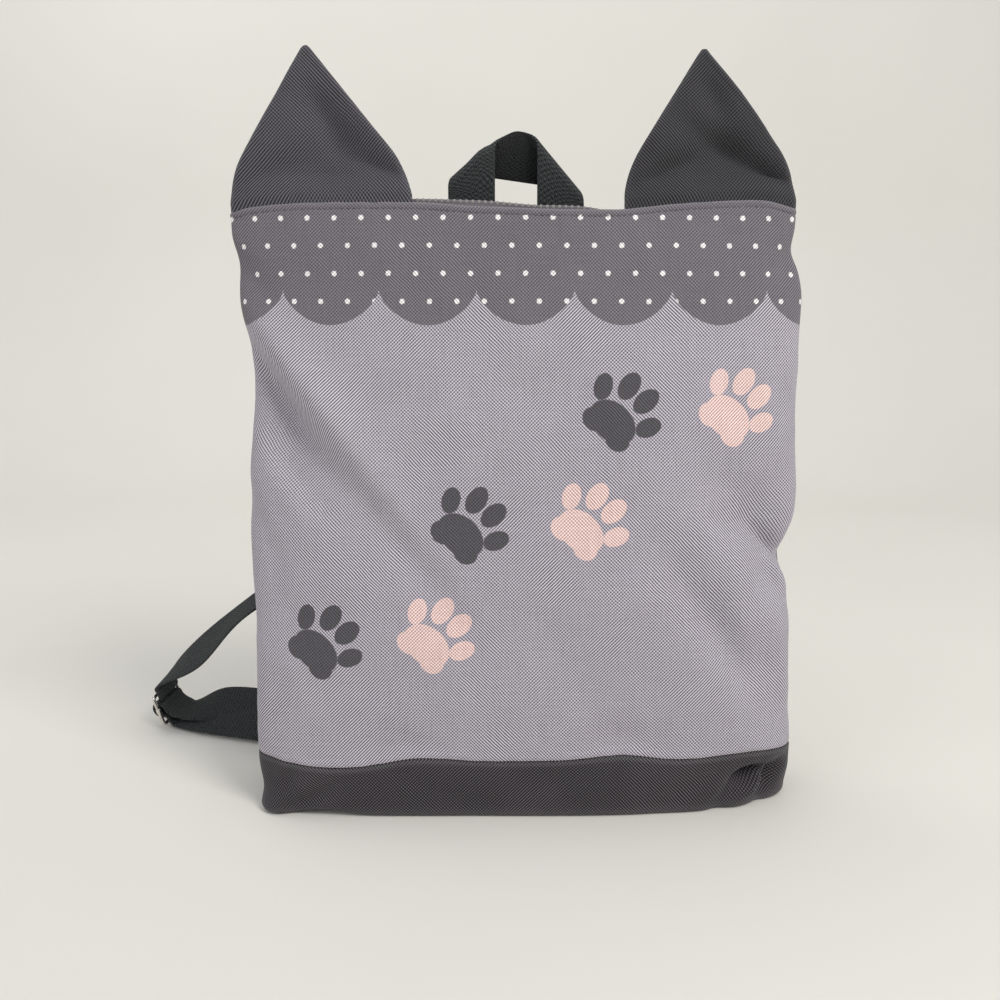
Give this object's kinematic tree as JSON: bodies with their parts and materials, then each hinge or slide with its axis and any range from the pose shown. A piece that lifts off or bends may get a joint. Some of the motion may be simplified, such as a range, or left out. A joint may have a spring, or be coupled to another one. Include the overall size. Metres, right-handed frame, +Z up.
{
  "type": "kids animal backpack",
  "caption": "Flat child's backpack of printed canvas with pointed ears, a dark base, an open zip mouth, a folded webbing handle and adjustable shoulder straps.",
  "frame": {"origin": "middle of the flat underside of the base, on the surface that the bag stands on", "axes": "+X to the right as seen from the front, +Y to the back of the bag, +Z up"},
  "size_m": [0.3907, 0.1687, 0.3991],
  "materials": {
    "printed_canvas": "coarse woven canvas, printed, slight sheen",
    "grey_canvas": "coarse woven canvas, dark grey",
    "base_canvas": "coarse woven canvas, charcoal",
    "webbing": "ribbed cotton-look webbing, charcoal",
    "zip_tape": "fine woven tape, grey",
    "zip_plastic": "moulded, satin",
    "nickel": "bright nickel plating"
  },
  "bodies": {
    "root": {"front_panel": "printed_canvas", "back_panel": "grey_canvas", "base_panel": "base_canvas", "ear_left": "grey_canvas", "ear_right": "grey_canvas", "zip_tape_front": "zip_tape", "zip_tape_back": "zip_tape", "zip_teeth_front": "zip_plastic", "zip_teeth_back": "zip_plastic", "zip_slider": "zip_plastic", "grab_handle": "webbing", "strap_left": "webbing", "strap_right": "webbing", "tab_left": "webbing", "tab_right": "webbing", "ring_left": "nickel", "ring_right": "nickel", "glide_left": "nickel", "glide_right": "nickel"}
  },
  "joints": []
}
